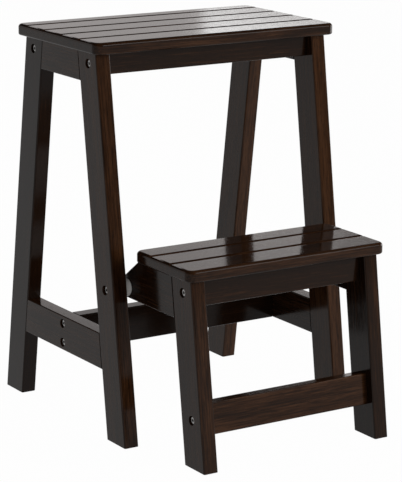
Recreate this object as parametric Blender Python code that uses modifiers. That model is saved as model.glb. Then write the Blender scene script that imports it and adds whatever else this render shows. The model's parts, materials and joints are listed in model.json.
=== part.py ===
# Folding step stool with two treads, in metres, +Z up.
# The stool's front is at -Y, where its lower step stands on two legs of its own.
# The step swings up and over on two pivot bolts, and is stowed upside down on the cross rail.
# The origin is on the floor, under the middle of the whole stool.
from math import atan, cos, pi, radians, tan

import bmesh
import bpy
from mathutils import Matrix, Vector

# Overall sizes
STOOL_HEIGHT = 0.560          # floor to the top of the seat board
STEP_HEIGHT = 0.2766          # floor to the top of the step board
FRAME_WIDTH = 0.3815          # over the outer faces of the main legs
FOOT_SPREAD = 0.1770          # middle of the main frame to the tip of a foot, on the floor
STEP_REACH = 0.3245           # middle of the main frame to the tip of the step's feet
RAKE = radians(8)             # lean of every leg

# Stock
STOCK = 0.0224                # thickness of legs and rails
LEG_BOARD = 0.050             # width of a leg, square to its length
TREAD_STOCK = 0.0165          # thickness of both treads

# Treads
SEAT_OVERHANG = 0.0154        # seat board past the legs' tops, front and back
SIDE_OVERHANG = 0.0085        # both treads past the legs' outer faces
STEP_OVERHANG = 0.0089        # step board past the fronts of its legs
STEP_DEPTH = 0.1433           # step board, front to back
CORNER_RADIUS = 0.012         # treads' corners, seen from above
TREAD_TOP_ROUND = 0.0050      # treads' upper edges
TREAD_UNDER_ROUND = 0.003     # and lower edges
FIRST_SLAT = 0.051            # front edge to the first groove
SLAT_PITCH = 0.050            # groove to groove
GROOVE_WIDTH = 0.0050
GROOVE_DEPTH = 0.0032

# Rails
RAIL_SETBACK = 0.0242         # front of a leg to the middle of a rail between two legs
UPPER_RAIL_HEIGHT = 0.0425    # side rails under the seat
APRON_HEIGHT = 0.0317         # front and rear rails under the seat
LOWER_RAIL_HEIGHT = 0.0512    # side rails and cross rail near the floor
STEP_APRON_HEIGHT = 0.0389
STEP_RAIL_HEIGHT = 0.0449
STEP_RAIL_LIFT = 0.0452       # floor to the step's low rail
ARM_HEIGHT = 0.0588           # step's side boards
ARM_TAIL = 0.0215             # pivot to the rear end of an arm
TAIL_RISE = 0.0057            # pivot to the foot of the arms' rear chamfer
ARM_CHAMFER = atan(0.725)     # slope of the arms' rear upper edge
PIVOT_RISE = 0.0150           # underside of an arm to the pivot
STOW_DROP = 0.0051            # stowed step board, when level, above the cross rail

# Edges
LEG_ROUND = 0.0022            # long edges of legs
RAIL_ROUND = 0.0016           # long edges of rails and arms
FIT_GAP = 0.0003              # air between pieces that touch
CUT_OVERRUN = 0.004           # cutters past what they cut

# Tenons at the ends of the side rails and arms
TENON_THICK = 0.010
TENON_REACH = 0.011
TENON_SHOULDER = 0.009        # rail's edge to the tenon, above and below

# Connector bolts and their barrel nuts
BOLT_RADIUS = 0.0030
BOLT_HEAD_RADIUS = 0.0052
BOLT_HEAD_HEIGHT = 0.0055
BOLT_IN_RAIL = 0.036          # bolt's tip past the end of the rail
HEAD_ROOM = 0.0013            # air round a head in its counterbore
COUNTERBORE_DEPTH = 0.0080
SOCKET_RADIUS = 0.0028        # key socket, corner to middle
SOCKET_DEPTH = 0.0030
METAL_CHAMFER = 0.0006
NUT_RADIUS = 0.0050
NUT_LENGTH = 0.0140
NUT_INSET = 0.028             # end of the rail to a barrel nut's middle
NUT_SLOT_WIDTH = 0.0014
NUT_SLOT_DEPTH = 0.0014
CROSS_BOLT_SPACING = 0.0280

# Pivots
PIVOT_RADIUS = 0.0040
PIVOT_HEAD_RADIUS = 0.0055
PIVOT_HEAD_HEIGHT = 0.0050
PIVOT_PLAY = 0.0005           # air round the pivot bolt in what turns on it
SPACER_RADIUS = 0.0125
SPACER_LENGTH = 0.01425       # main leg to the arm beside it
WASHER_RADIUS = 0.0095
WASHER_THICK = 0.0016
LOCK_NUT_RADIUS = 0.0075      # corner to middle
LOCK_NUT_HEIGHT = 0.0070
PIVOT_TIP = 0.0015            # bolt's tip past the lock nut

# Tread screws
SCREW_RADIUS = 0.0020
SCREW_HEAD_RADIUS = 0.0040
SCREW_HEAD_HEIGHT = 0.0026
SCREW_IN_RAIL = 0.0200        # head's seat to the top of the rail
SCREW_IN_TREAD = 0.0105
SCREW_INSET = 0.062           # end of an apron to the screw in it
ARM_SCREW_SHARE = 0.62        # along an arm's square part, from the step's leg

# Facets
ROUND_FACETS = 12
LARGE_FACETS = 24
HEX = 6
DIAMOND = 4
EDGE_SEGMENTS = 2
TREAD_SEGMENTS = 3
CORNER_SEGMENTS = 5
SMOOTH_BELOW = radians(40)
WELD = 0.00001

LEFT, RIGHT = -1, 1
FRONT, REAR = -1, 1
SIDES = {"left": LEFT, "right": RIGHT}
ENDS = {"front": FRONT, "rear": REAR}

# Places that follow from the sizes
RISE = tan(RAKE)
LEG_RUN = LEG_BOARD / cos(RAKE)
MID_Y = (STEP_REACH - FOOT_SPREAD) / 2
SEAT_UNDER = STOOL_HEIGHT - TREAD_STOCK
STEP_UNDER = STEP_HEIGHT - TREAD_STOCK
RAIL_TOP = SEAT_UNDER - FIT_GAP
STEP_RAIL_TOP = STEP_UNDER - FIT_GAP
INNER_X = FRAME_WIDTH / 2 - STOCK
STEP_WIDTH = 2 * (INNER_X - SPACER_LENGTH)
STEP_INNER_X = STEP_WIDTH / 2 - STOCK
ARM_UNDER = STEP_RAIL_TOP - ARM_HEIGHT
PIVOT_Z = ARM_UNDER + PIVOT_RISE
LOWER_RAIL_TOP = 2 * PIVOT_Z - STEP_HEIGHT - STOW_DROP
LOWER_RAIL_UNDER = LOWER_RAIL_TOP - LOWER_RAIL_HEIGHT
BORE_RADIUS = BOLT_RADIUS + FIT_GAP
PILOT_RADIUS = SCREW_RADIUS + FIT_GAP
PIVOT_BORE_RADIUS = PIVOT_RADIUS + PIVOT_PLAY


def tip_y(z):
    """How far a main leg's outer edge is from the frame's middle, at a height."""
    return FOOT_SPREAD - z * RISE


def step_front_y(z):
    """Front edge of the step's legs at a height."""
    return MID_Y - STEP_REACH + z * RISE


def step_back_y(z):
    return step_front_y(z) + LEG_RUN


PIVOT_Y = MID_Y - tip_y(PIVOT_Z) + RAIL_SETBACK
STEP_BOARD_FRONT = step_front_y(STEP_UNDER) - STEP_OVERHANG
STEP_BOARD_REAR = STEP_BOARD_FRONT + STEP_DEPTH
TAIL_Y = PIVOT_Y + ARM_TAIL
TAIL_TOP = PIVOT_Z + TAIL_RISE
ARM_SQUARE_END = TAIL_Y - (STEP_RAIL_TOP - TAIL_TOP) / tan(ARM_CHAMFER)

FINISHES = {
    "lacquer": ((0.030, 0.016, 0.011), 0.30, 0.0),
    "tread_lacquer": ((0.034, 0.019, 0.014), 0.26, 0.0),
    "steel": ((0.55, 0.55, 0.56), 0.32, 1.0),
    "zinc": ((0.48, 0.49, 0.50), 0.42, 1.0),
    "nylon": ((0.36, 0.35, 0.34), 0.50, 0.0),
}


def clear_scene():
    for item in list(bpy.data.objects):
        bpy.data.objects.remove(item, do_unlink=True)


def new_collection(name):
    collection = bpy.data.collections.new(name)
    bpy.context.scene.collection.children.link(collection)
    return collection


def new_object(name, mesh, collection, location=(0, 0, 0), turn=None):
    piece = bpy.data.objects.new(name, mesh)
    piece.location = location
    if turn is not None:
        piece.rotation_euler = turn.to_euler()
    collection.objects.link(piece)
    return piece


def dress(piece, finish):
    colour, roughness, metallic = FINISHES[finish]
    material = bpy.data.materials.new(piece.name + "_" + finish)
    material.use_nodes = True
    shader = material.node_tree.nodes["Principled BSDF"]
    shader.inputs["Base Color"].default_value = (*colour, 1)
    shader.inputs["Roughness"].default_value = roughness
    shader.inputs["Metallic"].default_value = metallic
    material.diffuse_color = (*colour, 1)
    piece.data = piece.data.copy() if piece.data.users > 1 else piece.data
    piece.data.materials.clear()
    piece.data.materials.append(material)
    return piece


def mesh_from(bm, name):
    bmesh.ops.recalc_face_normals(bm, faces=bm.faces)
    mesh = bpy.data.meshes.new(name)
    bm.to_mesh(mesh)
    bm.free()
    mesh.shade_smooth()
    mesh.set_sharp_from_angle(angle=SMOOTH_BELOW)
    return mesh


def box(size):
    bm = bmesh.new()
    bmesh.ops.create_cube(bm, size=1)
    bmesh.ops.scale(bm, vec=size, verts=bm.verts)
    return bm


def round_edges(bm, edges, radius, segments):
    bmesh.ops.bevel(bm, geom=edges, offset=radius, offset_type="OFFSET", affect="EDGES",
                    segments=segments, profile=0.5, material=-1)


def edges_along(bm, axis):
    """Edges that run mainly along an axis, 0 for X, 1 for Y and 2 for Z."""
    chosen = []
    for edge in bm.edges:
        span = edge.verts[0].co - edge.verts[1].co
        if max(range(3), key=lambda i: abs(span[i])) == axis:
            chosen.append(edge)
    return chosen


def cylinder(name, radius, start, end, collection, facets=ROUND_FACETS):
    """A cylinder from one point to another."""
    start = Vector(start)
    end = Vector(end)
    bm = bmesh.new()
    bmesh.ops.create_cone(bm, cap_ends=True, segments=facets, radius1=radius, radius2=radius,
                          depth=(end - start).length)
    turn = (end - start).to_track_quat("Z", "Y")
    return new_object(name, mesh_from(bm, name), collection, (start + end) / 2, turn)


def as_cutter(cutter):
    cutter.hide_render = True
    cutter.display_type = "WIRE"
    return cutter


def drill(name, radius, start, end, facets=ROUND_FACETS):
    return as_cutter(cylinder(name, radius, start, end, cutters, facets))


def boolean(piece, other, operation):
    modifier = piece.modifiers.new(operation.lower() + " " + other.name, "BOOLEAN")
    modifier.operation = operation
    modifier.solver = "EXACT"
    modifier.object = other


def cut(piece, *tools):
    for tool in tools:
        boolean(piece, tool, "DIFFERENCE")


def settled_mesh(piece):
    """The piece's mesh with its modifiers worked in, for copies to share."""
    bpy.context.view_layer.update()
    graph = bpy.context.evaluated_depsgraph_get()
    mesh = bpy.data.meshes.new_from_object(piece.evaluated_get(graph))
    mesh.shade_smooth()
    mesh.set_sharp_from_angle(angle=SMOOTH_BELOW)
    return mesh


# Boards

def leg(name, side, width, tip, top, lean):
    """A raked leg: tip is the outer edge of its foot, and lean is 1 where it leans to +Y."""
    bm = box((STOCK, LEG_RUN, top))
    for vert in bm.verts:
        vert.co.y += lean * vert.co.z * RISE
    crown = [edge for edge in bm.edges if min(vert.co.z for vert in edge.verts) > 0]
    round_edges(bm, [edge for edge in bm.edges if edge not in crown], LEG_ROUND, EDGE_SEGMENTS)
    middle_y = tip + lean * (LEG_RUN + top * RISE) / 2
    place = (side * (width - STOCK) / 2, middle_y, top / 2)
    return dress(new_object(name, mesh_from(bm, name), parts, place), "lacquer")


def side_rail(name, side, under, top):
    """A rail between a front and a rear leg, cut to the legs' rake and flush with their faces."""
    middle = (under + top) / 2
    bm = box((STOCK, 1, top - under))
    for vert in bm.verts:
        half = tip_y(middle + vert.co.z) - LEG_RUN - FIT_GAP
        vert.co.y = half if vert.co.y > 0 else -half
    round_edges(bm, edges_along(bm, 1), RAIL_ROUND, EDGE_SEGMENTS)
    place = (side * (FRAME_WIDTH - STOCK) / 2, MID_Y, middle)
    return dress(new_object(name, mesh_from(bm, name), parts, place), "lacquer")


def cross_board(name, half_width, middle_y, under, top, lean=0):
    """A rail along the stool's width, between two legs or two side rails, leaning about its middle."""
    bm = box((2 * (half_width - FIT_GAP), STOCK, top - under))
    round_edges(bm, edges_along(bm, 0), RAIL_ROUND, EDGE_SEGMENTS)
    bmesh.ops.rotate(bm, cent=(0, 0, 0), matrix=Matrix.Rotation(lean, 3, "X"), verts=bm.verts)
    place = (0, middle_y, (under + top) / 2)
    return dress(new_object(name, mesh_from(bm, name), parts, place), "lacquer")


def tread(name, width, front, rear, top):
    """A board with round corners, and V-grooves that mark off its slats."""
    bm = box((width, rear - front, TREAD_STOCK))
    round_edges(bm, edges_along(bm, 2), CORNER_RADIUS, CORNER_SEGMENTS)
    for level, radius in ((TREAD_STOCK / 2, TREAD_TOP_ROUND), (-TREAD_STOCK / 2, TREAD_UNDER_ROUND)):
        rim = [edge for edge in bm.edges
               if all(abs(vert.co.z - level) < WELD for vert in edge.verts)]
        round_edges(bm, rim, radius, TREAD_SEGMENTS)
    piece = new_object(name, mesh_from(bm, name), parts, (0, (front + rear) / 2, top - TREAD_STOCK / 2))
    groove_y = front + FIRST_SLAT
    while groove_y < rear - FIRST_SLAT / 2:
        cut(piece, groove(name + " groove", width, groove_y, top))
        groove_y += SLAT_PITCH
    return dress(piece, "tread_lacquer")


def groove(name, width, y, top):
    bm = bmesh.new()
    bmesh.ops.create_cone(bm, cap_ends=True, segments=DIAMOND, radius1=GROOVE_DEPTH,
                          radius2=GROOVE_DEPTH, depth=width + 2 * CUT_OVERRUN)
    bmesh.ops.rotate(bm, verts=bm.verts, cent=(0, 0, 0), matrix=Matrix.Rotation(pi / 2, 3, "Y"))
    bmesh.ops.scale(bm, vec=(1, GROOVE_WIDTH / (2 * GROOVE_DEPTH), 1), verts=bm.verts)
    return as_cutter(new_object(name, mesh_from(bm, name), cutters, (0, y, top)))


def tenon(rail, leg_piece, x, shoulder_y, under, top):
    """A stub tenon on a rail's end, and the mortise for it in the leg."""
    size = Vector((TENON_THICK, 2 * TENON_REACH, top - under - 2 * TENON_SHOULDER))
    play = Vector((FIT_GAP, FIT_GAP, FIT_GAP))
    for label, extent in (("tenon", size), ("mortise", size + 2 * play)):
        name = rail.name + " " + label + " " + leg_piece.name
        tool = new_object(name, mesh_from(box(extent), name), cutters,
                          (x, shoulder_y, (under + top) / 2))
        as_cutter(tool)
        if label == "tenon":
            boolean(rail, tool, "UNION")
        else:
            cut(leg_piece, tool)


def arm(name, side):
    """A side board of the step: square under the tread, and chamfered behind it."""
    outline = [
        (step_back_y(ARM_UNDER) + FIT_GAP, ARM_UNDER),
        (TAIL_Y, ARM_UNDER),
        (TAIL_Y, TAIL_TOP),
        (ARM_SQUARE_END, STEP_RAIL_TOP),
        (step_back_y(STEP_RAIL_TOP) + FIT_GAP, STEP_RAIL_TOP),
    ]
    curve = bpy.data.curves.new(name + " outline", "CURVE")
    curve.dimensions = "2D"
    curve.fill_mode = "BOTH"
    curve.extrude = STOCK / 2
    spline = curve.splines.new("POLY")
    spline.points.add(len(outline) - 1)
    for point, (y, z) in zip(spline.points, outline):
        point.co = (y, z, 0, 1)
    spline.use_cyclic_u = True
    drawn = new_object(name + " outline", curve, parts, (side * (STEP_WIDTH - STOCK) / 2, 0, 0),
                       Matrix(((0, 0, 1), (1, 0, 0), (0, 1, 0))))
    flat = settled_mesh(drawn)
    bm = bmesh.new()
    bm.from_mesh(flat)
    bpy.data.meshes.remove(flat)
    bmesh.ops.remove_doubles(bm, verts=bm.verts, dist=WELD)
    shoulder = sum(y for y, z in (outline[0], outline[-1])) / 2 + LEG_ROUND
    rims = [edge for edge in bm.edges if len(edge.link_faces) == 2
            and abs(edge.verts[0].co.z - edge.verts[1].co.z) < WELD
            and edge.calc_face_angle() > SMOOTH_BELOW
            and max(vert.co.x for vert in edge.verts) > shoulder + LEG_ROUND]
    round_edges(bm, rims, RAIL_ROUND, EDGE_SEGMENTS)
    piece = new_object(name, mesh_from(bm, name), parts)
    piece.matrix_world = drawn.matrix_world.copy()
    bpy.data.objects.remove(drawn, do_unlink=True)
    return dress(piece, "lacquer")


# Fasteners

def turned(name, outline, facets):
    """A turned piece about Z, from an outline that runs down its outer side."""
    mesh = bpy.data.meshes.new(name)
    mesh.from_pydata([(r, 0, z) for r, z in outline], [(i, i + 1) for i in range(len(outline) - 1)], [])
    piece = new_object(name, mesh, parts)
    screw = piece.modifiers.new("turn", "SCREW")
    screw.axis = "Z"
    screw.steps = facets
    screw.render_steps = facets
    screw.use_merge_vertices = True
    screw.merge_threshold = WELD
    return piece


def bolt_mesh(name, shank, length, head, head_height, socket_facets):
    """A bolt with its head's seat at the origin and its head towards +Z."""
    blank = turned(name, [
        (0, head_height),
        (head - METAL_CHAMFER, head_height),
        (head, head_height - METAL_CHAMFER),
        (head, 0),
        (shank, 0),
        (shank, METAL_CHAMFER - length),
        (shank - METAL_CHAMFER, -length),
        (0, -length),
    ], ROUND_FACETS)
    socket = drill(name + " socket", SOCKET_RADIUS, (0, 0, head_height - SOCKET_DEPTH),
                   (0, 0, head_height + CUT_OVERRUN), socket_facets)
    cut(blank, socket)
    mesh = settled_mesh(blank)
    bpy.data.objects.remove(blank, do_unlink=True)
    bpy.data.objects.remove(socket, do_unlink=True)
    return mesh


def screw_mesh(name):
    """A tread screw with its head's seat at the origin and its point towards +Z."""
    length = SCREW_IN_RAIL + SCREW_IN_TREAD
    blank = turned(name, [
        (0, length),
        (SCREW_RADIUS, length - 2 * SCREW_RADIUS),
        (SCREW_RADIUS, 0),
        (SCREW_HEAD_RADIUS, 0),
        (SCREW_HEAD_RADIUS - METAL_CHAMFER, -SCREW_HEAD_HEIGHT),
        (0, -SCREW_HEAD_HEIGHT),
    ], ROUND_FACETS)
    mesh = settled_mesh(blank)
    bpy.data.objects.remove(blank, do_unlink=True)
    return mesh


def barrel_nut_mesh(name):
    """A barrel nut along Z, cross-drilled along X, with its slot at +Z."""
    half = NUT_LENGTH / 2
    blank = turned(name, [
        (0, half),
        (NUT_RADIUS - METAL_CHAMFER, half),
        (NUT_RADIUS, half - METAL_CHAMFER),
        (NUT_RADIUS, METAL_CHAMFER - half),
        (NUT_RADIUS - METAL_CHAMFER, -half),
        (0, -half),
    ], ROUND_FACETS)
    reach = NUT_RADIUS + CUT_OVERRUN
    thread = drill(name + " thread", BORE_RADIUS, (-reach, 0, 0), (reach, 0, 0))
    slot = new_object(name + " slot", mesh_from(box((2 * reach, NUT_SLOT_WIDTH, 2 * NUT_SLOT_DEPTH)), name),
                      cutters, (0, 0, half))
    as_cutter(slot)
    cut(blank, thread, slot)
    mesh = settled_mesh(blank)
    for tool in (blank, thread, slot):
        bpy.data.objects.remove(tool, do_unlink=True)
    return mesh


def outward(side):
    """A turn that points a fastener's +Z out of the stool's left or right side."""
    return Vector((side, 0, 0)).to_track_quat("Z", "Y")


def connector(label, nut_label, side, half_width, y, z, outer, rail, inner_way, meshes, lean=0):
    """A bolt through an upright piece into a rail's end, and the barrel nut it draws on."""
    bolt_data, nut_data = meshes
    face_x = half_width + STOCK
    seat_x = face_x - COUNTERBORE_DEPTH
    tip_x = half_width - BOLT_IN_RAIL
    nut_x = half_width - NUT_INSET
    counterbore = drill(label + " counterbore", BOLT_HEAD_RADIUS + HEAD_ROOM, (side * seat_x, y, z),
                        (side * (face_x + CUT_OVERRUN), y, z), LARGE_FACETS)
    bore = drill(label + " bore", BORE_RADIUS, (side * (tip_x - BOLT_RADIUS), y, z),
                 (side * (seat_x + CUT_OVERRUN), y, z))
    pocket_end = NUT_LENGTH / 2 + FIT_GAP
    nut_place = Vector((side * nut_x, y, z))
    inward = Matrix.Rotation(lean, 3, "X") @ Vector((0, inner_way, 0))
    pocket = drill(nut_label + " pocket", NUT_RADIUS + FIT_GAP, nut_place - inward * pocket_end,
                   nut_place + inward * (STOCK / 2 + CUT_OVERRUN))
    cut(outer, counterbore, bore)
    cut(rail, bore, pocket)
    bolt = new_object(label, bolt_data, parts, (side * (seat_x + FIT_GAP), y, z), outward(side))
    nut = new_object(nut_label, nut_data, parts, nut_place,
                     Matrix.Rotation(lean - inner_way * pi / 2, 3, "X"))
    dress(bolt, "steel")
    dress(nut, "zinc")


def tread_screw(label, x, y, rail_under, rail_top, rail, board, screw_data):
    seat_z = rail_top - SCREW_IN_RAIL
    counterbore = drill(label + " counterbore", SCREW_HEAD_RADIUS + HEAD_ROOM,
                        (x, y, rail_under - CUT_OVERRUN), (x, y, seat_z))
    pilot = drill(label + " pilot", PILOT_RADIUS, (x, y, seat_z - CUT_OVERRUN / 2),
                  (x, y, rail_top + SCREW_IN_TREAD + FIT_GAP))
    cut(rail, counterbore, pilot)
    cut(board, pilot)
    dress(new_object(label, screw_data, parts, (x, y, seat_z - FIT_GAP)), "zinc")


def ring(name, radius, bore_radius, start_x, end_x, side, facets, finish):
    """A spacer, washer or nut on the pivot's line."""
    piece = cylinder(name, radius, (side * start_x, PIVOT_Y, PIVOT_Z),
                     (side * end_x, PIVOT_Y, PIVOT_Z), parts, facets)
    cut(piece, drill(name + " bore", bore_radius, (side * (start_x - CUT_OVERRUN), PIVOT_Y, PIVOT_Z),
                     (side * (end_x + CUT_OVERRUN), PIVOT_Y, PIVOT_Z)))
    dress(piece, finish)


def pivot(side_name, side, leg_piece, arm_piece):
    """The pivot of one side: bolt, spacer, washer and lock nut, all carried by the main leg."""
    face_x = FRAME_WIDTH / 2
    seat_x = face_x - COUNTERBORE_DEPTH
    arm_out = STEP_WIDTH / 2
    arm_in = STEP_INNER_X
    washer_x = arm_in - FIT_GAP
    nut_x = washer_x - WASHER_THICK - FIT_GAP
    tip_x = nut_x - LOCK_NUT_HEIGHT - PIVOT_TIP
    spot = (PIVOT_Y, PIVOT_Z)
    counterbore = drill("pivot counterbore " + side_name, PIVOT_HEAD_RADIUS + HEAD_ROOM,
                        (side * seat_x, *spot), (side * (face_x + CUT_OVERRUN), *spot), LARGE_FACETS)
    bore = drill("pivot bore " + side_name, PIVOT_BORE_RADIUS,
                 (side * (arm_in - CUT_OVERRUN), *spot), (side * (seat_x + CUT_OVERRUN), *spot))
    cut(leg_piece, counterbore, bore)
    cut(arm_piece, bore)
    ring("pivot_spacer_" + side_name, SPACER_RADIUS, PIVOT_BORE_RADIUS, arm_out + FIT_GAP,
         INNER_X - FIT_GAP, side, LARGE_FACETS, "nylon")
    ring("pivot_washer_" + side_name, WASHER_RADIUS, PIVOT_BORE_RADIUS, washer_x - WASHER_THICK,
         washer_x, side, LARGE_FACETS, "zinc")
    ring("pivot_nut_" + side_name, LOCK_NUT_RADIUS, PIVOT_RADIUS + FIT_GAP, nut_x - LOCK_NUT_HEIGHT,
         nut_x, side, HEX, "zinc")
    shank = seat_x + FIT_GAP - tip_x
    data = bolt_mesh("pivot_bolt", PIVOT_RADIUS, shank, PIVOT_HEAD_RADIUS, PIVOT_HEAD_HEIGHT, HEX)
    bolt = new_object("pivot_bolt_" + side_name, data, parts, (side * (seat_x + FIT_GAP), *spot),
                      outward(side))
    dress(bolt, "steel")


# The whole stool

def build_main_frame(meshes, screw_data):
    half_depth = tip_y(SEAT_UNDER) + SEAT_OVERHANG
    seat = tread("seat_board", FRAME_WIDTH + 2 * SIDE_OVERHANG, MID_Y - half_depth,
                 MID_Y + half_depth, STOOL_HEIGHT)
    legs = {}
    for end_name, end in ENDS.items():
        for side_name, side in SIDES.items():
            legs[end, side] = leg("leg_" + end_name + "_" + side_name, side, FRAME_WIDTH,
                                  MID_Y + end * FOOT_SPREAD, RAIL_TOP, -end)
    lower_rails = {}
    for side_name, side in SIDES.items():
        for label, under, top in (("upper", RAIL_TOP - UPPER_RAIL_HEIGHT, RAIL_TOP),
                                  ("lower", LOWER_RAIL_UNDER, LOWER_RAIL_TOP)):
            rail = side_rail(label + "_rail_" + side_name, side, under, top)
            shoulder = tip_y((under + top) / 2) - LEG_RUN
            for end in ENDS.values():
                tenon(rail, legs[end, side], side * (FRAME_WIDTH - STOCK) / 2,
                      MID_Y + end * shoulder, under, top)
            if label == "lower":
                lower_rails[side] = rail

    apron_under = RAIL_TOP - APRON_HEIGHT
    apron_z = (apron_under + RAIL_TOP) / 2
    for end_name, end in ENDS.items():
        apron_y = MID_Y + end * (tip_y(apron_z) - RAIL_SETBACK)
        apron = cross_board(end_name + "_apron", INNER_X, apron_y, apron_under, RAIL_TOP)
        for side_name, side in SIDES.items():
            corner = end_name + "_" + side_name
            connector("apron_bolt_" + corner, "apron_nut_" + corner, side, INNER_X, apron_y, apron_z,
                      legs[end, side], apron, -end, meshes)
            tread_screw("seat_screw_" + corner, side * (INNER_X - SCREW_INSET), apron_y, apron_under,
                        RAIL_TOP, apron, seat, screw_data)

    cross = cross_board("cross_rail", INNER_X, MID_Y, LOWER_RAIL_UNDER, LOWER_RAIL_TOP)
    cross_z = (LOWER_RAIL_UNDER + LOWER_RAIL_TOP) / 2
    for side_name, side in SIDES.items():
        for level, way in (("upper", 1), ("lower", -1)):
            label = side_name + "_" + level
            connector("cross_bolt_" + label, "cross_nut_" + label, side, INNER_X, MID_Y,
                      cross_z + way * CROSS_BOLT_SPACING / 2, lower_rails[side], cross, REAR, meshes)
    return legs


def build_step(meshes, screw_data):
    board = tread("step_board", STEP_WIDTH + 2 * SIDE_OVERHANG, STEP_BOARD_FRONT, STEP_BOARD_REAR,
                  STEP_HEIGHT)
    legs = {}
    arms = {}
    for side_name, side in SIDES.items():
        legs[side] = leg("step_leg_" + side_name, side, STEP_WIDTH, MID_Y - STEP_REACH,
                         STEP_RAIL_TOP, 1)
        arms[side] = arm("step_arm_" + side_name, side)
        tenon(arms[side], legs[side], side * (STEP_WIDTH - STOCK) / 2,
              step_back_y((ARM_UNDER + STEP_RAIL_TOP) / 2), ARM_UNDER, STEP_RAIL_TOP)

    # the low rail is square with the raked legs, and the apron is upright under its board
    rails = (("step_apron", STEP_RAIL_TOP - STEP_APRON_HEIGHT, STEP_RAIL_TOP, 0),
             ("step_rail", STEP_RAIL_LIFT, STEP_RAIL_LIFT + STEP_RAIL_HEIGHT, -RAKE))
    for label, under, top, lean in rails:
        middle = (under + top) / 2
        rail_y = step_front_y(middle) + RAIL_SETBACK
        name = "step_low_rail" if label == "step_rail" else label
        rail = cross_board(name, STEP_INNER_X, rail_y, under, top, lean)
        for side_name, side in SIDES.items():
            connector(label + "_bolt_" + side_name, label + "_nut_" + side_name, side, STEP_INNER_X,
                      rail_y, middle, legs[side], rail, REAR, meshes, lean)
            if label == "step_apron":
                tread_screw("step_screw_front_" + side_name, side * (STEP_INNER_X - SCREW_INSET), rail_y,
                            under, top, rail, board, screw_data)
    shoulder_y = step_back_y(STEP_RAIL_TOP)
    screw_y = shoulder_y + ARM_SCREW_SHARE * (ARM_SQUARE_END - shoulder_y)
    for side_name, side in SIDES.items():
        tread_screw("step_screw_rear_" + side_name, side * (STEP_WIDTH - STOCK) / 2, screw_y, ARM_UNDER,
                    STEP_RAIL_TOP, arms[side], board, screw_data)
    return arms


def hang_step_on_pivot():
    """Every piece that swings is a child of an empty on the pivot's line."""
    hinge = new_object("step_hinge", None, parts, (0, PIVOT_Y, PIVOT_Z))
    hinge.empty_display_size = SPACER_RADIUS
    bpy.context.view_layer.update()
    for piece in parts.objects:
        if piece.name.startswith("step_") and piece is not hinge:
            piece.parent = hinge
            piece.matrix_parent_inverse = hinge.matrix_world.inverted()


clear_scene()
parts = new_collection("folding_step_stool")
cutters = new_collection("cutters")
connector_meshes = (
    bolt_mesh("connector_bolt", BOLT_RADIUS, STOCK - COUNTERBORE_DEPTH + BOLT_IN_RAIL,
              BOLT_HEAD_RADIUS, BOLT_HEAD_HEIGHT, HEX),
    barrel_nut_mesh("barrel_nut"),
)
screw_data = screw_mesh("tread_screw")
main_legs = build_main_frame(connector_meshes, screw_data)
step_arms = build_step(connector_meshes, screw_data)
for side_label, side_way in SIDES.items():
    pivot(side_label, side_way, main_legs[FRONT, side_way], step_arms[side_way])
hang_step_on_pivot()
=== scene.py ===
# Dresses the folding step stool: dark lacquered boards, bright bolts and grey pivot spacers.
# Lengths are in metres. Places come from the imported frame, and each piece replaces its plain node.
import json
from math import atan2, cos, pi, radians, sin, tan

import bmesh
import bpy
from mathutils import Matrix, Vector


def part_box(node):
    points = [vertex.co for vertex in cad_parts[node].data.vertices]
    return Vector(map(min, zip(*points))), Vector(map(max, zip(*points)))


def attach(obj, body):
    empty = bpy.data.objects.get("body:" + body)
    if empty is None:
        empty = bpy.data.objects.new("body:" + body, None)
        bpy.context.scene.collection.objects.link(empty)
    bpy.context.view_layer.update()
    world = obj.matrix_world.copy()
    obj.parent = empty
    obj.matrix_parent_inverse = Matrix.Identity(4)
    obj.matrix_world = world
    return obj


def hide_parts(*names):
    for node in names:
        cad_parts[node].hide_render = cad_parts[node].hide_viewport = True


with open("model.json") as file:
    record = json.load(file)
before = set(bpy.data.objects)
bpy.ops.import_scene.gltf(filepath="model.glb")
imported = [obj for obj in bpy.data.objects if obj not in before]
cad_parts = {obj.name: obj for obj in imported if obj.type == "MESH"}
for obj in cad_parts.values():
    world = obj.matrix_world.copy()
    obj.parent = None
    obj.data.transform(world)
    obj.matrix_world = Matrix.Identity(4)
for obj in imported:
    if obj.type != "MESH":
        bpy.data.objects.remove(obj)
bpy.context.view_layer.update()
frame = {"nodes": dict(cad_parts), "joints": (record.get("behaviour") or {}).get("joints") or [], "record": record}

print("frame loaded,", len(frame["nodes"]), "nodes")

bodyOf = {node: body for body, nodes in frame["record"]["behaviour"]["bodies"].items() for node in nodes}
pivotPlace = Vector(frame["joints"][0]["pos_m"])
sides = ("left", "right")


# Shader helpers

class Wire:  # one output socket, on which arithmetic adds Math nodes
    def __init__(self, sheet, socket):
        self.sheet = sheet
        self.socket = socket

    def math(self, operation, first, second):
        return self.sheet.node("Math", {"operation": operation}, {0: first, 1: second})

    def __add__(self, other):
        return self.math("ADD", self, other)

    def __sub__(self, other):
        return self.math("SUBTRACT", self, other)

    def __rsub__(self, other):
        return self.math("SUBTRACT", other, self)

    def __mul__(self, other):
        return self.math("MULTIPLY", self, other)

    __radd__ = __add__
    __rmul__ = __mul__


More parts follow.
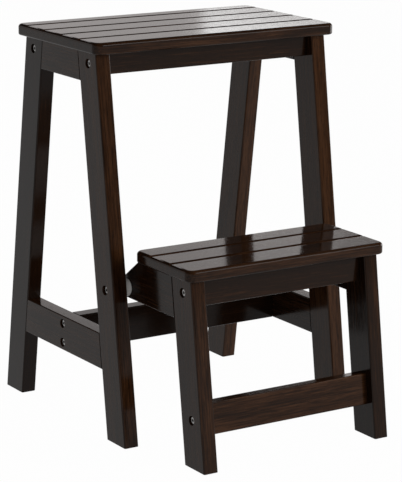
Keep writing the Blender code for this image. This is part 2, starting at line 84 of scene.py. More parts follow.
class Sheet:  # a node tree being filled
    def __init__(self, tree):
        self.tree = tree
        tree.nodes.clear()

    def node(self, kind, settings=None, sockets=None, out=0):
        made = self.tree.nodes.new("ShaderNode" + kind)
        for key, value in (settings or {}).items():
            if key == "stops":
                stops = made.color_ramp.elements
                while len(stops) < len(value):
                    stops.new(0.5)
                for stop, (position, colour) in zip(stops, value):
                    stop.position = position
                    stop.color = (*colour, 1)
            else:
                setattr(made, key, value)
        for key, value in (sockets or {}).items():
            if isinstance(value, Wire):
                self.tree.links.new(value.socket, made.inputs[key])
            else:
                made.inputs[key].default_value = value
        return Wire(self, made.outputs[out]) if made.outputs else None

    def clamped(self, value, low, high):
        return self.node("MapRange", {"interpolation_type": "SMOOTHSTEP"}, {0: value, 1: low, 2: high})

    def blended(self, factor, first, second):  # two colours
        return self.node("Mix", {"data_type": "RGBA"}, {0: factor, 6: first, 7: second}, 2)

    def noise(self, vector, scale, detail=2.0, roughness=0.5):
        return self.node("TexNoise", None, {"Vector": vector, "Scale": scale, "Detail": detail,
                                            "Roughness": roughness})

    def objectPlace(self):
        return self.node("TexCoord", None, None, "Object")

    def wear(self):  # what markWear wrote on the mesh
        return self.node("Attribute", {"attribute_name": "wear"}, None, "Fac")

    def bump(self, height, strength, distance):
        return self.node("Bump", None, {"Height": height, "Strength": strength, "Distance": distance})

    def ray(self, kind):
        return self.node("LightPath", None, None, "Is " + kind + " Ray")

    def wiredTo(self, output, surface):
        self.node("Output" + output, None, {"Surface": surface})


def newMaterial(name):
    material = bpy.data.materials.new(name)
    material.use_nodes = True
    return material, Sheet(material.node_tree)


# Lacquered wood: one material for each board, so that no two have the same grain

lacquer = {
    "pore": (0.0060, 0.0026, 0.0013, 1),
    "dark": (0.0110, 0.0046, 0.0020),
    "middle": (0.0265, 0.0103, 0.0040),
    "light": (0.0490, 0.0207, 0.0088),
    "stops": (0.38, 0.50, 0.62),            # where the grain is dark, middle and light
    "edge": (0.0520, 0.0240, 0.0110, 1),    # thin lacquer on the roundovers
    "edgeShare": 0.12,
    "edgeFrom": (0.35, 0.65),
    "fibreAcross": 520.0,                   # streaks per metre, across and along the grain
    "fibreAlong": 16.0,
    "fibreNoise": (3.0, 0.62),              # detail and roughness of the noise
    "bandAcross": 60.0,
    "bandAlong": 3.0,
    "bandNoise": (2.0, 0.55),
    "bandShare": 0.28,
    "poreAcross": 1100.0,
    "poreAlong": 70.0,
    "poreFrom": (0.56, 0.68),
    "poreShare": 0.62,
    "ripple": 95.0,                         # the coat's own unevenness
    "boardShift": (0.37, 0.61, 0.83),       # from one board's stretch of grain to the next one's
    # painted shade: how much darker each board is painted where it stands in shade under the seat and step, and
    # for the right legs how much lighter, as painted light
    "paintedShades": {"front_apron": 0.14, "step_apron": 0.14, "step_leg_right": 0.12, "leg_rear_left": 0.16,
               "leg_front_right": -0.03, "leg_rear_right": -0.06, "cross_rail": 0.16, "seat_board": 0.06,
               "step_board": 0.04, "step_arm_left": 0.08, "step_arm_right": 0.08, "lower_rail_right": 0.06},
    "index": 1.22,                          # a thin, soft coat
    "gloss": {"frame_wood": 0.125, "tread_wood": 0.085},
    "glossSpread": 0.03,
    "poreGloss": 0.05,
    "relief": 0.00004,
    "reliefStrength": 0.45,
    "fibreRelief": 0.6,
    "rippleRelief": 1.2,
    "poreRelief": 0.5,
}


def grainScale(axis, across, along):
    return tuple(along if axis == place else across for place in range(3))


def lacquered(node, slotName, axis, lean):
    low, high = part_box(node)
    order = sorted(frame["nodes"]).index(node)
    material, sheet = newMaterial("lacquer_" + node)
    place = sheet.objectPlace()
    # the pattern is centred on its board and leans with it, each board at its own stretch of grain
    shift = Vector(lacquer["boardShift"]) * (order + 1)
    laid = sheet.node("Mapping", {"vector_type": "TEXTURE"},
                      {"Vector": place, "Location": (low + high) / 2 - shift, "Rotation": (lean, 0, 0)})

    def grain(across, along, *noise):
        stretched = sheet.node("VectorMath", {"operation": "MULTIPLY"},
                               {0: laid, 1: grainScale(axis, across, along)})
        return sheet.noise(stretched, 1.0, *noise)

    bands = grain(lacquer["bandAcross"], lacquer["bandAlong"], *lacquer["bandNoise"])
    fibres = grain(lacquer["fibreAcross"], lacquer["fibreAlong"], *lacquer["fibreNoise"])
    pores = sheet.clamped(grain(lacquer["poreAcross"], lacquer["poreAlong"], 1.0), *lacquer["poreFrom"])
    ripple = sheet.noise(place, lacquer["ripple"], 1.0)

    # the grain's streaks, less each board's painted shade (a negative entry paints light), before they pick the
    # stain
    streaksAndPaintedShade = (bands * lacquer["bandShare"] + fibres * (1 - lacquer["bandShare"])
               - lacquer["paintedShades"].get(node, 0))
    stains = tuple(zip(lacquer["stops"], (lacquer["dark"], lacquer["middle"], lacquer["light"])))
    stainAndPaintedShade = sheet.node("ValToRGB", {"stops": stains}, {0: streaksAndPaintedShade})
    pored = sheet.blended(pores * lacquer["poreShare"], stainAndPaintedShade, lacquer["pore"])
    thin = sheet.wear() * sheet.clamped(bands, *lacquer["edgeFrom"]) * lacquer["edgeShare"]
    gloss = lacquer["gloss"][slotName] + (fibres - 0.5) * lacquer["glossSpread"] + pores * lacquer["poreGloss"]
    height = (fibres * lacquer["fibreRelief"] + ripple * lacquer["rippleRelief"]
              - pores * lacquer["poreRelief"])
    normal = sheet.bump(height, lacquer["reliefStrength"], lacquer["relief"])
    coated = sheet.node("BsdfPrincipled", None, {"Base Color": sheet.blended(thin, pored, lacquer["edge"]),
                                                 "Roughness": gloss, "IOR": lacquer["index"], "Normal": normal})
    sheet.wiredTo("Material", coated)
    return material


# Metal and plastic

metals = {
    "bolt_steel": {"colour": (0.26, 0.255, 0.25, 1), "dull": (0.16, 0.155, 0.15, 1), "gloss": 0.08},
    "zinc_steel": {"colour": (0.56, 0.57, 0.58, 1), "dull": (0.34, 0.35, 0.36, 1), "gloss": 0.36},
}
metalGrain = {"cloud": 420.0, "cloudDetail": 3.0, "dullFrom": (0.35, 0.75), "dullGloss": 0.08,
              "scratch": 2600.0, "relief": 0.00003, "reliefStrength": 0.15}


def metal(name):
    finish = metals[name]
    material, sheet = newMaterial(name)
    place = sheet.objectPlace()
    cloud = sheet.noise(place, metalGrain["cloud"], metalGrain["cloudDetail"])
    scratch = sheet.noise(place, metalGrain["scratch"])
    colour = sheet.blended(sheet.clamped(cloud, *metalGrain["dullFrom"]), finish["colour"], finish["dull"])
    normal = sheet.bump(scratch, metalGrain["reliefStrength"], metalGrain["relief"])
    gloss = finish["gloss"] + cloud * metalGrain["dullGloss"]
    plate = sheet.node("BsdfPrincipled", None, {"Base Color": colour, "Metallic": 1.0, "Roughness": gloss,
                                                "Normal": normal})
    sheet.wiredTo("Material", plate)
    return material


plastic = {
    "colour": (0.86, 0.84, 0.82, 1),
    "scuffed": (0.90, 0.88, 0.86, 1),
    "scuffShare": 0.5,
    "cloud": 160.0,
    "cloudDetail": 3.0,
    "cloudFrom": (0.4, 0.8),
    "cloudShare": 0.4,
    "gloss": 0.40,
    "cloudGloss": 0.12,
    "speckle": 3200.0,
    "relief": 0.00004,
    "reliefStrength": 0.2,
}


def spacerPlastic():
    material, sheet = newMaterial("spacer_plastic")
    place = sheet.objectPlace()
    cloud = sheet.noise(place, plastic["cloud"], plastic["cloudDetail"])
    scuff = (sheet.wear() * plastic["scuffShare"]
             + sheet.clamped(cloud, *plastic["cloudFrom"]) * plastic["cloudShare"])
    speckle = sheet.noise(place, plastic["speckle"], 1.0)
    normal = sheet.bump(speckle, plastic["reliefStrength"], plastic["relief"])
    gloss = plastic["gloss"] + cloud * plastic["cloudGloss"]
    moulded = sheet.node("BsdfPrincipled", None,
                         {"Base Color": sheet.blended(scuff, plastic["colour"], plastic["scuffed"]),
                          "Roughness": gloss, "Normal": normal})
    sheet.wiredTo("Material", moulded)
    return material


# Mesh helpers

fine = {
    "weld": 0.000002,
    "rimReach": 0.00001,     # how near its circle a hole's rim has to be
    "narrow": 0.0013,        # a face narrower than this belongs to a roundover
    "sharpAbove": radians(35),
    "overrun": 0.004,        # cutters past what they cut
    "holeSides": 48,
    "roundSteps": 48,
    "hexSides": 6,
    "faceWeight": 100,
}


def cube(size):
    board = bmesh.new()
    bmesh.ops.create_cube(board, size=1)
    bmesh.ops.scale(board, vec=size, verts=board.verts)
    return board


def roundOver(board, edges, radius, segments=4):
    bmesh.ops.bevel(board, geom=list(edges), offset=radius, offset_type="OFFSET", affect="EDGES",
                    segments=segments, profile=0.5, material=-1, clamp_overlap=True)


def edgesAlong(board, axis):
    chosen = []
    for edge in board.edges:
        span = edge.verts[0].co - edge.verts[1].co
        if max(range(3), key=lambda place: abs(span[place])) == axis:
            chosen.append(edge)
    return chosen


def endRims(board, axis, half):
    return [edge for edge in board.edges
            if all(abs(abs(vert.co[axis]) - half) < fine["weld"] for vert in edge.verts)]


def rod(start, end, radius, steps):
    start, end = Vector(start), Vector(end)
    span = end - start
    made = bmesh.new()
    bmesh.ops.create_cone(made, cap_ends=True, segments=steps, radius1=radius, radius2=radius,
                          depth=span.length)
    turn = span.to_track_quat("Z", "Y").to_matrix().to_4x4()
    bmesh.ops.transform(made, matrix=Matrix.Translation((start + end) / 2) @ turn, verts=made.verts)
    return made


def passingObject(work):
    bmesh.ops.recalc_face_normals(work, faces=work.faces)
    mesh = bpy.data.meshes.new("passing")
    work.to_mesh(mesh)
    work.free()
    made = bpy.data.objects.new("passing", mesh)
    bpy.context.scene.collection.objects.link(made)
    return made


def combined(work, tools, operation="DIFFERENCE"):
    blank = passingObject(work)
    cutters = [passingObject(tool) for tool in tools]
    for cutter in cutters:
        step = blank.modifiers.new("cut", "BOOLEAN")
        step.operation = operation
        step.solver = "EXACT"
        step.object = cutter
    bpy.context.view_layer.update()
    graph = bpy.context.evaluated_depsgraph_get()
    mesh = bpy.data.meshes.new_from_object(blank.evaluated_get(graph))
    result = bmesh.new()
    result.from_mesh(mesh)
    for passing in [blank, *cutters]:
        bpy.data.objects.remove(passing, do_unlink=True)
    bpy.data.meshes.remove(mesh)
    bmesh.ops.remove_doubles(result, verts=result.verts, dist=fine["weld"])
    return result


def easeRim(work, centre, radius, ease):
    rim = [edge for edge in work.edges
           if all(abs((vert.co - centre).length - radius) < fine["rimReach"] for vert in edge.verts)]
    roundOver(work, rim, ease, segments=3)


def turned(profile, steps, closed=False):  # a profile of radius and height, spun round the Z axis
    work = bmesh.new()
    verts = [work.verts.new((radius, 0, height)) for radius, height in profile]
    pairs = list(zip(verts, verts[1:])) + ([(verts[-1], verts[0])] if closed else [])
    edges = [work.edges.new(pair) for pair in pairs]
    bmesh.ops.spin(work, geom=verts + edges, cent=(0, 0, 0), axis=(0, 0, 1), dvec=(0, 0, 0),
                   angle=2 * pi, steps=steps, use_merge=True, use_duplicate=False)
    bmesh.ops.remove_doubles(work, verts=work.verts, dist=fine["weld"])
    return work


def markWear(work):  # 1 in the middle of each convex roundover, 0 on the flats
    layer = work.loops.layers.float.new("wear")
    rounded = set()
    for face in work.faces:
        longest = max(edge.calc_length() for edge in face.edges)
        bend = sum(edge.calc_face_angle_signed(0) for edge in face.edges)
        if face.calc_area() / longest < fine["narrow"] and bend > 0:
            rounded.add(face)
    for face in rounded:
        for loop in face.loops:
            loop[layer] = 1.0 if all(other in rounded for other in loop.vert.link_faces) else 0.0


def finishPiece(work, node, prefix, material):
    bmesh.ops.recalc_face_normals(work, faces=work.faces)
    markWear(work)
    mesh = bpy.data.meshes.new(prefix + "_" + node)
    work.to_mesh(mesh)
    work.free()
    mesh.shade_smooth()
    mesh.set_sharp_from_angle(angle=fine["sharpAbove"])
    mesh.materials.append(material)
    piece = bpy.data.objects.new(prefix + "_" + node, mesh)
    bpy.context.scene.collection.objects.link(piece)
    weighting = piece.modifiers.new("flat faces stay flat", "WEIGHTED_NORMAL")
    weighting.weight = fine["faceWeight"]
    weighting.keep_sharp = True
    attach(piece, bodyOf[node])
    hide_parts(node)


# Holes that the fasteners need, worked out from the fasteners' own places

plainNutLow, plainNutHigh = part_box("step_apron_nut_left")
apronLow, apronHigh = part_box("step_apron")
stock = apronHigh.y - apronLow.y
barrel = {"radius": (plainNutHigh.z - plainNutLow.z) / 2, "half": (plainNutHigh.y - plainNutLow.y) / 2,
          "gap": 0.0003, "ease": 0.0006, "slotWidth": 0.0014, "slotDepth": 0.0014}
bore = {"headAir": 0.0013, "headDepth": 0.0080, "screwDepth": 0.0029, "shank": 0.0033, "pivotShank": 0.0045,
        "ease": 0.0005}


def boltHoles(node, outerX, innerX):  # the counterbore and the through hole, and the rim to ease
    low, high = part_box(node)
    side = 1 if outerX > 0 else -1
    spot = ((low.y + high.y) / 2, (low.z + high.z) / 2)
    wide = (high.z - low.z) / 2 + bore["headAir"]
    shank = bore["pivotShank"] if node.startswith("pivot") else bore["shank"]
    seatX = outerX - side * bore["headDepth"]
    mouth = rod((seatX, *spot), (outerX + side * fine["overrun"], *spot), wide, fine["holeSides"])
    through = rod((innerX - side * fine["overrun"], *spot), (seatX + side * fine["overrun"] / 2, *spot),
                  shank, fine["holeSides"] // 2)
    return [mouth, through], (Vector((outerX, *spot)), wide)


def leanOf(node):  # the low rail and its nuts stand square with the raked legs
    return -legs["rake"] if node.startswith(("step_low_rail", "step_rail_nut")) else 0


def nutHole(node, way):  # way is 1 for a pocket open to the rear, and -1 to the front
    low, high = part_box(node)
    middle = (low + high) / 2
    radius = barrel["radius"] + barrel["gap"]
    inward = Matrix.Rotation(leanOf(node), 3, "X") @ Vector((0, way, 0))
    tool = rod(middle - inward * (barrel["half"] + barrel["gap"]),
               middle + inward * (stock / 2 + fine["overrun"]), radius, fine["holeSides"])
    return tool, (middle + inward * stock / 2, radius)


def screwHole(node, rail):
    low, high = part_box(node)
    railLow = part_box(rail)[0]
    middle = (low + high) / 2
    radius = (high.x - low.x) / 2 + bore["headAir"]
    tool = rod((middle.x, middle.y, railLow.z - fine["overrun"]),
               (middle.x, middle.y, low.z + bore["screwDepth"]), radius, fine["holeSides"])
    return tool, (Vector((middle.x, middle.y, railLow.z)), radius)


def drilled(work, holes):
    tools, rims = [], []
    for made, rim in holes:
        tools += made if isinstance(made, list) else [made]
        rims.append(rim)
    if not tools:
        return work
    work = combined(work, tools)
    for centre, radius in rims:
        easeRim(work, centre, radius, bore["ease"])
    return work


# Legs: raked boards with softly rounded long edges

legs = {"rake": radians(8), "round": 0.0022, "endEase": 0.0006}
legBolts = {
    "leg_front_left": ["apron_bolt_front_left", "pivot_bolt_left"],
    "leg_front_right": ["apron_bolt_front_right", "pivot_bolt_right"],
    "leg_rear_left": ["apron_bolt_rear_left"],
    "leg_rear_right": ["apron_bolt_rear_right"],
    "step_leg_left": ["step_apron_bolt_left", "step_rail_bolt_left"],
    "step_leg_right": ["step_apron_bolt_right", "step_rail_bolt_right"],
}


def makeLeg(node, bolts):
    low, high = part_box(node)
    size = high - low
    lean = -1 if "rear" in node else 1
    work = cube((size.x, size.y - size.z * tan(legs["rake"]), size.z))
    shear = Matrix.Identity(4)
    shear[1][2] = lean * tan(legs["rake"])
    bmesh.ops.transform(work, matrix=shear, verts=work.verts)
    roundOver(work, edgesAlong(work, 2), legs["round"])
    roundOver(work, endRims(work, 2, size.z / 2), legs["endEase"], segments=2)
    bmesh.ops.translate(work, vec=(low + high) / 2, verts=work.verts)
    outward = 1 if low.x > 0 else -1
    outerX, innerX = (high.x, low.x) if outward > 0 else (low.x, high.x)
    work = drilled(work, [boltHoles(bolt, outerX, innerX) for bolt in bolts])
    finishPiece(work, node, "lacquered", lacquered(node, "frame_wood", 2, -lean * legs["rake"]))


for legNode, boltNodes in legBolts.items():
    makeLeg(legNode, boltNodes)
print("legs made")


# Rails and aprons

rails = {"round": 0.0016, "endEase": 0.0004, "gap": 0.0003}


def innerEdge(legNode, height):  # where a leg's inner edge is at a height
    low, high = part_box(legNode)
    slope = tan(legs["rake"])
    if "rear" in legNode:
        return low.y + (high.z - height) * slope
    return high.y - (high.z - height) * slope


def sideRail(node):
    low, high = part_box(node)
    side = "left" if node.endswith("left") else "right"
    size = high - low
    work = cube(size)
    for vert in work.verts:
        vert.co += (low + high) / 2
        legNode = "leg_front_" + side if vert.co.y < (low.y + high.y) / 2 else "leg_rear_" + side
        away = rails["gap"] if "front" in legNode else -rails["gap"]
        vert.co.y = innerEdge(legNode, vert.co.z) + away
    roundOver(work, edgesAlong(work, 1), rails["round"])
    holes = []
    if node.startswith("lower"):
        outerX, innerX = (low.x, high.x) if side == "left" else (high.x, low.x)
        holes = [boltHoles("cross_bolt_" + side + "_" + level, outerX, innerX) for level in ("upper", "lower")]
    work = drilled(work, holes)
    finishPiece(work, node, "lacquered", lacquered(node, "frame_wood", 1, 0))


for railNode in ("upper_rail_left", "upper_rail_right", "lower_rail_left", "lower_rail_right"):
    sideRail(railNode)


def crossBoard(node, nuts, way, screws):
    low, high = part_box(node)
    lean = leanOf(node)
    size = Vector((high.x - low.x, stock, (high.z - low.z - stock * abs(sin(lean))) / cos(lean)))
    work = cube(size)
    roundOver(work, edgesAlong(work, 0), rails["round"])
    roundOver(work, endRims(work, 0, size.x / 2), rails["endEase"], segments=2)
    bmesh.ops.rotate(work, verts=work.verts, cent=(0, 0, 0), matrix=Matrix.Rotation(lean, 3, "X"))
    bmesh.ops.translate(work, vec=(low + high) / 2, verts=work.verts)
    holes = [nutHole(nut, way) for nut in nuts] + [screwHole(screw, node) for screw in screws]
    work = drilled(work, holes)
    finishPiece(work, node, "lacquered", lacquered(node, "frame_wood", 0, lean))


def bothSides(stem):
    return [stem + "_" + side for side in sides]


crossBoard("front_apron", bothSides("apron_nut_front"), 1, bothSides("seat_screw_front"))
crossBoard("rear_apron", bothSides("apron_nut_rear"), -1, bothSides("seat_screw_rear"))
crossBoard("cross_rail", ["cross_nut_" + side + "_" + level for side in sides for level in ("upper", "lower")],
           1, [])
crossBoard("step_apron", bothSides("step_apron_nut"), 1, bothSides("step_screw_front"))
crossBoard("step_low_rail", bothSides("step_rail_nut"), 1, [])
print("rails made")


# Arms of the step: chamfered behind, bored for the pivots

arms = {
    "tailRise": 0.0057,    # the rear end's upper corner above the pivot
    "slope": 0.725,        # of the sawn corner, rise for run
    "round": 0.0009,
}


def makeArm(node):
    low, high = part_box(node)
    side = node.rsplit("_", 1)[1]
    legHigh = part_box("step_leg_" + side)[1]
    slope = tan(legs["rake"])
    work = cube(high - low)
    bmesh.ops.translate(work, vec=(low + high) / 2, verts=work.verts)
    # the front end follows the leg's rake, and the rear upper corner is sawn off
    shoulder = Vector((0, legHigh.y + rails["gap"], legHigh.z))
    tailTop = Vector((0, high.y, pivotPlace.z + arms["tailRise"]))
    cuts = ((shoulder, Vector((0, -1, slope))), (tailTop, Vector((0, arms["slope"], 1))))
    for point, normal in cuts:
        whole = [*work.verts, *work.edges, *work.faces]
        bmesh.ops.bisect_plane(work, geom=whole, dist=fine["weld"], plane_co=point,
                               plane_no=normal.normalized(), clear_outer=True)
        bmesh.ops.holes_fill(work, edges=work.edges)
    front = shoulder.y - (legHigh.z - low.z) * slope
    rims = [edge for edge in work.edges
            if abs(edge.verts[0].co.x - edge.verts[1].co.x) < fine["weld"]
            and max(vert.co.y for vert in edge.verts) > shoulder.y + fine["overrun"]
            and front < min(vert.co.y for vert in edge.verts) + fine["overrun"]]
    roundOver(work, rims, arms["round"])
    pivotHole = rod((low.x - fine["overrun"], pivotPlace.y, pivotPlace.z),
                    (high.x + fine["overrun"], pivotPlace.y, pivotPlace.z),
                    bore["pivotShank"], fine["holeSides"])
    work = drilled(work, [screwHole("step_screw_rear_" + side, node)])
    work = combined(work, [pivotHole])
    finishPiece(work, node, "lacquered", lacquered(node, "frame_wood", 1, 0))


for armNode in bothSides("step_arm"):
    makeArm(armNode)
print("arms made")


# Treads: boards with round corners, marked off into slats by V-grooves

treads = {
    "corner": 0.012,
    "cornerSegments": 12,
    "topRound": 0.005,
    "underRound": 0.003,
    "roundSegments": 8,
    "firstSlat": 0.051,
    "pitch": 0.050,
    "grooveWidth": 0.0050,
    "grooveDepth": 0.0032,
    "lip": 0.0024,          # the eased edge's width, on the surface and on the groove's wall
    "lipSegments": 5,
}


def grooveCutter(width, y, top):
    half, depth, lip = treads["grooveWidth"] / 2, treads["grooveDepth"], treads["lip"]
    wall = atan2(depth, half)
    ease = lip / tan(wall / 2)
    flank = []
    for step in range(treads["lipSegments"] + 1):
        turn = wall * step / treads["lipSegments"]
        flank.append((half + lip - ease * sin(turn), ease * (cos(turn) - 1)))
    flank.insert(0, (half + lip, fine["overrun"]))
    outline = flank + [(0, -depth)] + [(-across, height) for across, height in reversed(flank)]
    work = bmesh.new()
    end = work.faces.new([work.verts.new((-width / 2 - fine["overrun"], y + across, top + height))
                          for across, height in outline])
    grown = bmesh.ops.extrude_face_region(work, geom=[end])["geom"]
    bmesh.ops.translate(work, vec=(width + 2 * fine["overrun"], 0, 0),
                        verts=[part for part in grown if isinstance(part, bmesh.types.BMVert)])
    return work


def makeTread(node):
    low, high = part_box(node)
    size = high - low
    work = cube(size)
    roundOver(work, edgesAlong(work, 2), treads["corner"], treads["cornerSegments"])
    for level, radius in ((size.z / 2, treads["topRound"]), (-size.z / 2, treads["underRound"])):
        rim = [edge for edge in work.edges if all(abs(vert.co.z - level) < fine["weld"] for vert in edge.verts)]
        roundOver(work, rim, radius, treads["roundSegments"])
    bmesh.ops.translate(work, vec=(low + high) / 2, verts=work.verts)
    places = []
    y = low.y + treads["firstSlat"]
    while y < high.y - treads["firstSlat"] / 2:
        places.append(y)
        y += treads["pitch"]
    work = combined(work, [grooveCutter(size.x, y, high.z) for y in places])
    finishPiece(work, node, "lacquered", lacquered(node, "tread_wood", 0, 0))


makeTread("seat_board")
makeTread("step_board")
print("treads made")


# Bolts, nuts and screws

steel = {slot: metal(slot) for slot in metals}
bolt = {"head": 0.0055, "shank": 0.0030, "pivotHead": 0.0050, "pivotShank": 0.0040, "crown": 0.0009,
        "socket": 0.0023, "socketDepth": 0.0018, "mouthEase": 0.0003, "tip": 0.0006}


def pointOutward(work, node):  # a piece made along +Z, its outer face at the origin
    low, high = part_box(node)
    side = 1 if low.x > 0 else -1
    outerX = high.x if side > 0 else low.x
    turn = Vector((side, 0, 0)).to_track_quat("Z", "Y").to_matrix().to_4x4()
    place = Matrix.Translation((outerX, (low.y + high.y) / 2, (low.z + high.z) / 2))
    bmesh.ops.transform(work, matrix=place @ turn, verts=work.verts)
    return work


def arcPoints(centre, radius, start, end, count):
    return [(centre[0] + radius * cos(start + (end - start) * step / count),
             centre[1] + radius * sin(start + (end - start) * step / count)) for step in range(count + 1)]


def makeBolt(node):
    low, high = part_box(node)
    pivot = node.startswith("pivot")
    head = bolt["pivotHead"] if pivot else bolt["head"]
    shank = bolt["pivotShank"] if pivot else bolt["shank"]
    wide = (high.z - low.z) / 2
    length = high.x - low.x
    crown = arcPoints((wide - bolt["crown"], -bolt["crown"]), bolt["crown"], pi / 2, 0, 4)
    work = turned([(0, 0), *crown, (wide, -head), (shank, -head), (shank, bolt["tip"] - length),
                   (shank - bolt["tip"], -length), (0, -length)], fine["roundSteps"])
    key = rod((0, 0, -bolt["socketDepth"]), (0, 0, fine["overrun"]), bolt["socket"], fine["hexSides"])
    work = combined(work, [key])
    mouth = [edge for edge in work.edges if all(abs(vert.co.z) < fine["weld"] for vert in edge.verts)
             and all(vert.co.length < bolt["socket"] + fine["weld"] for vert in edge.verts)]
    roundOver(work, mouth, bolt["mouthEase"], segments=2)
    finishPiece(pointOutward(work, node), node, "bright", steel["bolt_steel"])


def makeBarrelNut(node):
    low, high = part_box(node)
    radius, half, ease = barrel["radius"], barrel["half"], barrel["ease"]
    way = -1 if node.startswith("apron_nut_rear") else 1   # the slot faces the open side of its pocket
    work = turned([(0, half), (radius - ease, half), (radius, half - ease), (radius, ease - half),
                   (radius - ease, -half), (0, -half)], fine["roundSteps"])
    slot = cube((3 * radius, barrel["slotWidth"], 2 * barrel["slotDepth"]))
    bmesh.ops.translate(slot, vec=(0, 0, half), verts=slot.verts)
    crossHole = rod((-2 * radius, 0, 0), (2 * radius, 0, 0), bore["shank"], fine["holeSides"] // 2)
    work = combined(work, [slot, crossHole])
    bmesh.ops.rotate(work, verts=work.verts, cent=(0, 0, 0),
                     matrix=Matrix.Rotation(leanOf(node) - way * pi / 2, 3, "X"))
    bmesh.ops.translate(work, vec=(low + high) / 2, verts=work.verts)
    finishPiece(work, node, "plated", steel["zinc_steel"])


screw = {
    "shank": 0.0020,
    "head": 0.0026,
    "domeShare": 0.45,       # of the head's height
    "domeFrom": pi / 6,      # where the pan head's arc leaves its rim
    "crossSpan": 0.0052,
    "crossWidth": 0.0008,
    "crossDepth": 0.0015,
}


def makeScrew(node):
    low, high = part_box(node)
    middle = (low + high) / 2
    length = high.z - low.z
    wide = (high.x - low.x) / 2
    domeWide = wide / cos(screw["domeFrom"])
    domeHigh = screw["head"] * screw["domeShare"] / (1 - sin(screw["domeFrom"]))
    arc = arcPoints((0, 0), 1, pi / 2, screw["domeFrom"], 5)
    dome = [(domeWide * across, domeHigh * (1 - up)) for across, up in arc[1:]]
    work = turned([(0, 0), *dome, (wide, screw["head"]), (screw["shank"], screw["head"]),
                   (screw["shank"], length - 2 * screw["shank"]), (0, length)], fine["roundSteps"] // 2)
    spans = ((screw["crossSpan"], screw["crossWidth"]), (screw["crossWidth"], screw["crossSpan"]))
    work = combined(work, [cube((*span, 2 * screw["crossDepth"])) for span in spans])
    bmesh.ops.translate(work, vec=(middle.x, middle.y, low.z), verts=work.verts)
    finishPiece(work, node, "plated", steel["zinc_steel"])


# The pivots: spacer, washer and lock nut

ring = {"bore": 0.0045, "spacerEase": 0.0008, "washerEase": 0.0003}
lockNut = {
    "bore": 0.0043,
    "collar": 0.0022,        # the length of the round collar behind the hexagon
    "chamfer": 0.0012,       # what the hexagon's corners lose in height
    "collarShare": 0.94,     # of half the hexagon's width across its flats
    "mouthShare": 0.86,
    "collarEase": 0.0008,
    "rooted": 0.0004,        # how deep the collar reaches into the hexagon
}


def makeRing(node, prefix, material, ease):
    low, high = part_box(node)
    radius, half = (high.z - low.z) / 2, (high.x - low.x) / 2
    outline = [*arcPoints((radius - ease, half - ease), ease, pi / 2, 0, 3),
               *arcPoints((radius - ease, ease - half), ease, 0, -pi / 2, 3),
               (ring["bore"], -half), (ring["bore"], half)]
    work = turned(outline, fine["roundSteps"] * 2, closed=True)
    bmesh.ops.translate(work, vec=(0, 0, -half), verts=work.verts)
    finishPiece(pointOutward(work, node), node, prefix, material)


def makeLockNut(node):
    low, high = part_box(node)
    corner = max(high.y - low.y, high.z - low.z) / 2
    flat = corner * cos(pi / fine["hexSides"])
    end = low.x - high.x
    hexEnd = end + lockNut["collar"]
    hexagon = rod((0, 0, 0), (0, 0, hexEnd), corner, fine["hexSides"])
    cone = turned([(0, 0), (flat, 0), (corner, -lockNut["chamfer"]), (corner, hexEnd), (0, hexEnd)],
                  fine["roundSteps"] * 2)
    work = combined(hexagon, [cone], "INTERSECT")
    wide = flat * lockNut["collarShare"]
    root = hexEnd + lockNut["rooted"]
    collar = turned([(lockNut["bore"], end), (flat * lockNut["mouthShare"], end),
                     (wide, end + lockNut["collarEase"]), (wide, root), (lockNut["bore"], root)],
                    fine["roundSteps"], closed=True)
    work = combined(work, [collar], "UNION")
    through = rod((0, 0, fine["overrun"]), (0, 0, end - fine["overrun"]), lockNut["bore"], fine["roundSteps"])
    work = combined(work, [through])
    finishPiece(pointOutward(work, node), node, "plated", steel["zinc_steel"])


greyPlastic = spacerPlastic()
for node in sorted(frame["nodes"]):
    if "_bolt_" in node:
        makeBolt(node)
    elif node.startswith("pivot_nut"):
        makeLockNut(node)
    elif "_nut_" in node:
        makeBarrelNut(node)
    elif "_screw_" in node:
        makeScrew(node)
    elif node.startswith("pivot_washer"):
        makeRing(node, "plated", steel["zinc_steel"], ring["washerEase"])
    elif node.startswith("pivot_spacer"):
        makeRing(node, "moulded", greyPlastic, ring["spacerEase"])
print("fasteners made")


# Floor, studio and lamps

studio = {
    "white": (1.0, 1.0, 1.0, 1),
    "floorHalf": 9.0,
    "floorDrop": 0.0003,
    "floorShade": (0.45, 0.45, 0.45, 1),
    "floorShown": 0.985,            # share of plain white in what the camera sees of the floor
    "floorMirrored": 0.84,          # and in what gloss sees of it
    "ambient": 0.13,                # the room as a light, for surfaces that aren't glossy
    "warm": (1.0, 0.945, 0.93, 1),  # the room that gloss sees, apart from the strip
    "frontShade": 0.14,             # how light the room is in front, and at the pale backdrop
    "backShade": 0.80,
    "backdropTurn": (-0.85, -0.30),  # how far to the rear the backdrop begins, as sines
    "backdropTop": (0.27, 0.36),    # the sines of the height at which it ends
    "endTurn": (0.0, 0.3),          # its right-hand end, which is darker above endHeight
    "backdropEnd": (0.046, 0.072),
    "endHeight": (0.16, 0.21),
    "sideShade": 0.45,
    "rise": 0.15,
    "ceilingShade": 0.06,
}
# a soft strip light low at the rear right, whose reflection runs across the seat
strip = {
    "across": (0.843, -0.537, 0.0),
    "acrossEdge": (-0.002, 0.004),
    "acrossEnd": (0.12, 0.26),
    "lift": (-0.183, 0.122, 1.0),
    "liftEdge": (0.130, 0.144),
    "top": (0.165, 0.195),
    "strength": 1.30,
    "crest": (0.138, 0.151),        # it brightens towards its upper part
    "crestShare": 0.60,
}


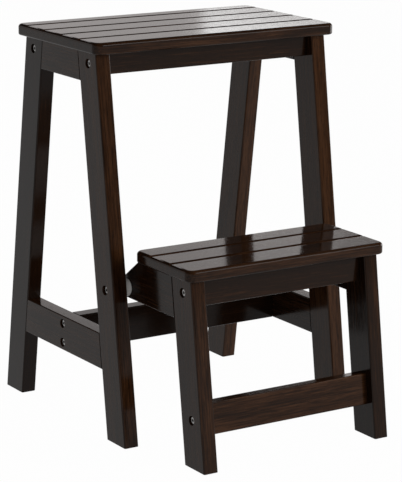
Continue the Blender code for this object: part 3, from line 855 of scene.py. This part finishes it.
def makeFloor():
    work = bmesh.new()
    bmesh.ops.create_grid(work, x_segments=1, y_segments=1, size=studio["floorHalf"])
    bmesh.ops.translate(work, vec=(0, 0, -studio["floorDrop"]), verts=work.verts)
    mesh = bpy.data.meshes.new("floor")
    work.to_mesh(mesh)
    work.free()
    material, sheet = newMaterial("floor_white")
    seen = sheet.ray("Camera") + sheet.ray("Transmission")
    share = seen * studio["floorShown"] + sheet.ray("Glossy") * studio["floorMirrored"]
    matt = sheet.node("BsdfDiffuse", None, {"Color": studio["floorShade"]})
    white = sheet.node("Emission", None, {"Color": studio["white"], "Strength": 1.0})
    sheet.wiredTo("Material", sheet.node("MixShader", None, {0: share, 1: matt, 2: white}))
    mesh.materials.append(material)
    floor = bpy.data.objects.new("floor", mesh)
    bpy.context.scene.collection.objects.link(floor)


def makeWorld():
    world = bpy.data.worlds.new("studio")
    bpy.context.scene.world = world
    world.use_nodes = True
    sheet = Sheet(world.node_tree)
    direction = sheet.node("TexCoord", None, None, "Generated")

    def towards(way):
        return sheet.node("VectorMath", {"operation": "DOT_PRODUCT"}, {0: direction, 1: way}, 1)

    seen = sheet.ray("Camera") + sheet.ray("Transmission")
    mirrored = sheet.ray("Glossy")
    across, rear, height = towards(strip["across"]), towards((0, 1, 0)), towards((0, 0, 1))
    glow = (sheet.clamped(across, *strip["acrossEdge"]) * (1 - sheet.clamped(across, *strip["acrossEnd"]))
            * sheet.clamped(towards(strip["lift"]), *strip["liftEdge"])
            * (1 - sheet.clamped(height, *strip["top"]))
            * (sheet.clamped(height, *strip["crest"]) * strip["crestShare"] + 1))
    walls = (sheet.clamped(rear, *studio["backdropTurn"]) * (studio["backShade"] - studio["frontShade"])
             + studio["frontShade"])
    end = (sheet.clamped(across, *studio["backdropEnd"]) * sheet.clamped(rear, *studio["endTurn"])
           * (studio["backShade"] - studio["sideShade"]))
    backdrop = walls + sheet.clamped(height, *studio["endHeight"]) * (studio["rise"] - end)
    room = backdrop + sheet.clamped(height, *studio["backdropTop"]) * (studio["ceilingShade"] - backdrop)
    strength = (mirrored * (room + glow * strip["strength"]) + seen
                + (1 - (seen + mirrored)) * studio["ambient"])
    tint = sheet.blended(mirrored * (1 - glow), studio["white"], studio["warm"])
    sheet.wiredTo("World", sheet.node("Background", None, {"Color": tint, "Strength": strength}))


# mirrored says whether gloss sees the lamp, and it sees less than half of the light from the upper front
lampAim = Vector((0, 0, 0.25))
lamps = {
    "front": {"place": (1.34, -2.14, 1.50), "size": 1.1, "power": 16, "mirrored": True},
    "upper": {"place": (1.34, -2.14, 1.50), "size": 1.1, "power": 20, "mirrored": False},
    "low": {"place": (1.36, -2.17, 0.85), "size": 1.3, "power": 22, "mirrored": False},
    "left": {"place": (-2.7, 0.1, 0.6), "size": 1.2, "power": 5, "mirrored": False},
    "fill": {"place": (-1.6, -2.6, 0.7), "size": 1.4, "power": 10, "mirrored": False},
    "right": {"place": (2.8, -0.3, 0.6), "size": 1.2, "power": 26, "mirrored": True},
    "rear": {"place": (-0.2, 2.8, 0.6), "size": 1.2, "power": 22, "mirrored": False},
}


def makeLamps():
    for name, lamp in lamps.items():
        data = bpy.data.lights.new(name, "AREA")
        data.size = lamp["size"]
        data.energy = lamp["power"]
        made = bpy.data.objects.new(name, data)
        made.location = lamp["place"]
        made.visible_glossy = lamp["mirrored"]
        made.rotation_euler = (lampAim - made.location).to_track_quat("-Z", "Y").to_euler()
        bpy.context.scene.collection.objects.link(made)


view = {
    "azimuth": radians(-32.543),
    "elevation": radians(13.6945),
    "roll": radians(0.357),
    "distance": 3.2107,
    "aim": (0.0068, 0.0138, 0.2486),
    "focalPixels": 2211.1,
    "longSidePixels": 482,
    "sensor": 36.0,
}


def makeCamera():
    azimuth, elevation, roll = view["azimuth"], view["elevation"], view["roll"]
    back = Vector((sin(azimuth) * cos(elevation), -cos(azimuth) * cos(elevation), sin(elevation)))
    level = Vector((cos(azimuth), sin(azimuth), 0))
    up = back.cross(level)
    right = level * cos(roll) + up * sin(roll)
    top = up * cos(roll) - level * sin(roll)
    data = bpy.data.cameras.new("camera")
    data.sensor_width = view["sensor"]
    data.lens = view["focalPixels"] / view["longSidePixels"] * view["sensor"]
    camera = bpy.data.objects.new("camera", data)
    camera.matrix_world = (Matrix.Translation(Vector(view["aim"]) + back * view["distance"])
                           @ Matrix((right, top, back)).transposed().to_4x4())
    bpy.context.scene.collection.objects.link(camera)
    bpy.context.scene.camera = camera


makeFloor()
makeWorld()
makeLamps()
makeCamera()
bpy.context.scene.view_settings.view_transform = "Standard"
print("studio made")
